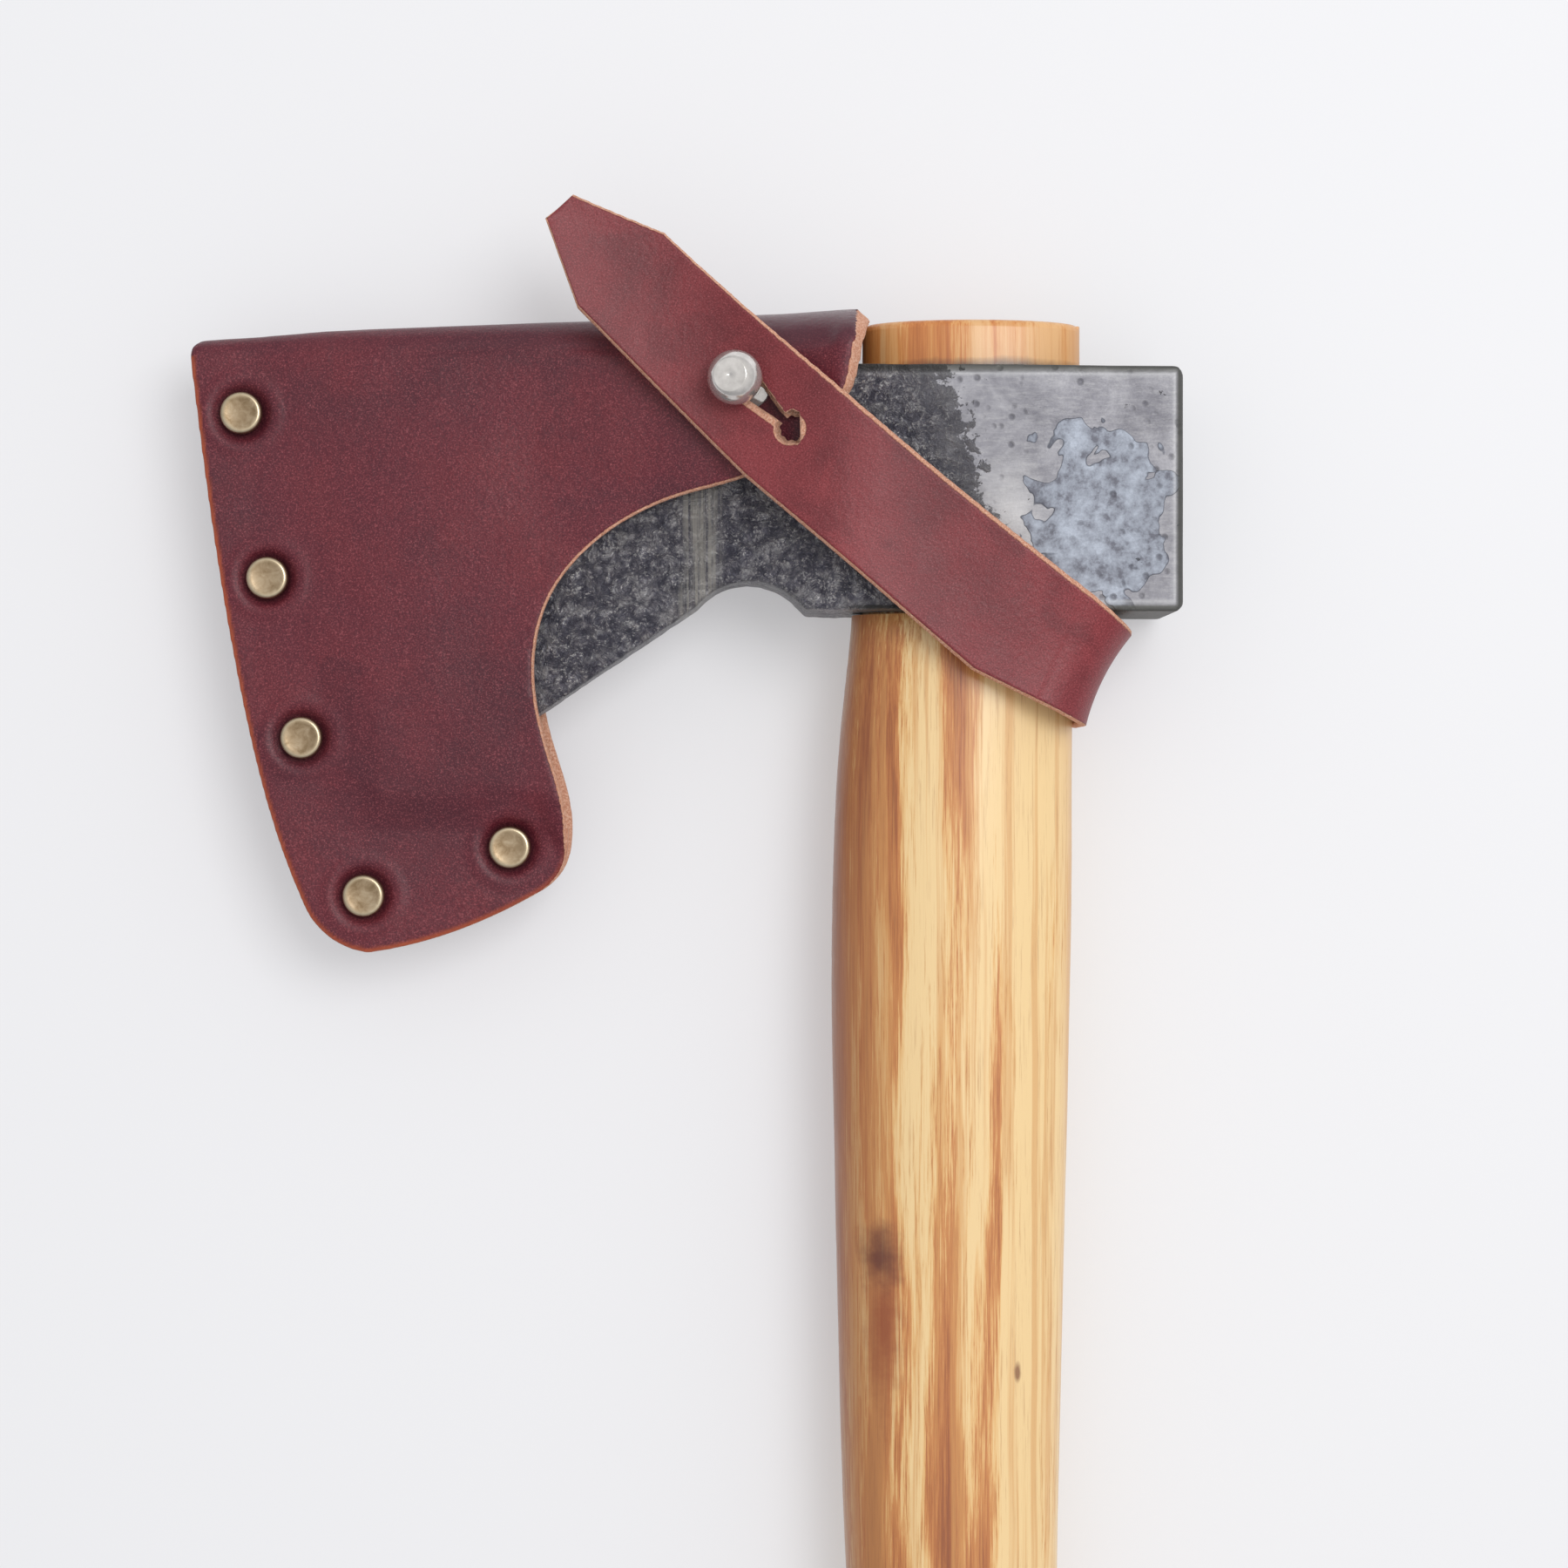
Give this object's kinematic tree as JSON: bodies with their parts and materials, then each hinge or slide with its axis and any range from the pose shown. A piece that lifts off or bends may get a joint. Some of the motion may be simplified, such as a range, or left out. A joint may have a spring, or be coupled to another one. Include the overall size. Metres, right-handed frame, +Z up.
{
  "type": "hatchet",
  "caption": "Forged hatchet with a square poll and an ash handle, its head in a riveted leather sheath with a wrap strap on a ball stud.",
  "frame": {"origin": "middle of the underside of the whole object as it lies on its side", "axes": "+Y along the handle towards the top of the head, +X from the cutting edge to the poll, +Z up through the thickness"},
  "size_m": [0.186, 0.3982, 0.0444],
  "materials": {
    "forged_steel": "forged, ground in places",
    "ash": "oiled",
    "wedge_wood": "raw",
    "leather": "satin, edges raw",
    "strap_leather": "satin, edges raw",
    "antique_brass": "antique",
    "nickel": "worn polish"
  },
  "bodies": {
    "hatchet": {"axe_head": "forged_steel", "handle": "ash", "handle_wedge": "wedge_wood"},
    "sheath": {"sheath_leather": "leather", "sheath_welt": "leather", "ball_stud": "nickel", "stud_screw": "nickel", "rivet_cap_1": "antique_brass", "rivet_cap_2": "antique_brass", "rivet_cap_3": "antique_brass", "rivet_cap_4": "antique_brass", "rivet_cap_5": "antique_brass", "rivet_post_1": "antique_brass", "rivet_post_2": "antique_brass", "rivet_post_3": "antique_brass", "rivet_post_4": "antique_brass", "rivet_post_5": "antique_brass"},
    "strap_bend_1": {"strap_bend_1": "strap_leather"},
    "strap_bend_2": {"strap_bend_2": "strap_leather"},
    "strap_side": {"strap_side": "strap_leather"},
    "strap_bend_3": {"strap_bend_3": "strap_leather"},
    "strap_bend_4": {"strap_bend_4": "strap_leather"},
    "strap_front": {"strap_front": "strap_leather"}
  },
  "joints": [
    {"name": "sheath_slide", "type": "slide", "parent": "hatchet", "child": "sheath", "axis": [-1, 0, 0], "range_m": [0, 0.18], "deforming": ["strap_bend_1", "strap_bend_2", "strap_side", "strap_bend_3", "strap_bend_4"]},
    {"name": "strap_open", "type": "hinge", "parent": "sheath", "child": "strap_bend_1", "pos_m": [0.07256, 0.11418, 0], "axis": [0.4067, 0.9135, 0], "range_deg": [0, 22.5], "deforming": ["strap_front"]},
    {"name": "strap_unroll_2", "type": "hinge", "parent": "strap_bend_1", "child": "strap_bend_2", "pos_m": [0.07837, 0.11159, 0.00264], "axis": [0.4067, 0.9135, 0], "range_deg": [0, 45]},
    {"name": "strap_unroll_3", "type": "hinge", "parent": "strap_bend_2", "child": "strap_side", "pos_m": [0.08078, 0.11052, 0.009], "axis": [0.4067, 0.9135, 0], "range_deg": [0, 22.5]},
    {"name": "strap_unroll_4", "type": "hinge", "parent": "strap_side", "child": "strap_bend_3", "pos_m": [0.08078, 0.11052, 0.0275], "axis": [0.4067, 0.9135, 0], "range_deg": [0, 22.5]},
    {"name": "strap_unroll_5", "type": "hinge", "parent": "strap_bend_3", "child": "strap_bend_4", "pos_m": [0.07757, 0.11195, 0.03599], "axis": [0.4067, 0.9135, 0], "range_deg": [0, 45]},
    {"name": "strap_unroll_6", "type": "hinge", "parent": "strap_bend_4", "child": "strap_front", "pos_m": [0.06982, 0.1154, 0.0395], "axis": [0.4067, 0.9135, 0], "range_deg": [0, 25.5]}
  ],
  "couplings": [
    {"joint": "strap_unroll_2", "follows": "strap_open", "ratio": 2},
    {"joint": "strap_unroll_3", "follows": "strap_open", "ratio": 1},
    {"joint": "strap_unroll_4", "follows": "strap_open", "ratio": 1},
    {"joint": "strap_unroll_5", "follows": "strap_open", "ratio": 2},
    {"joint": "strap_unroll_6", "follows": "strap_open", "ratio": 1.1333}
  ]
}
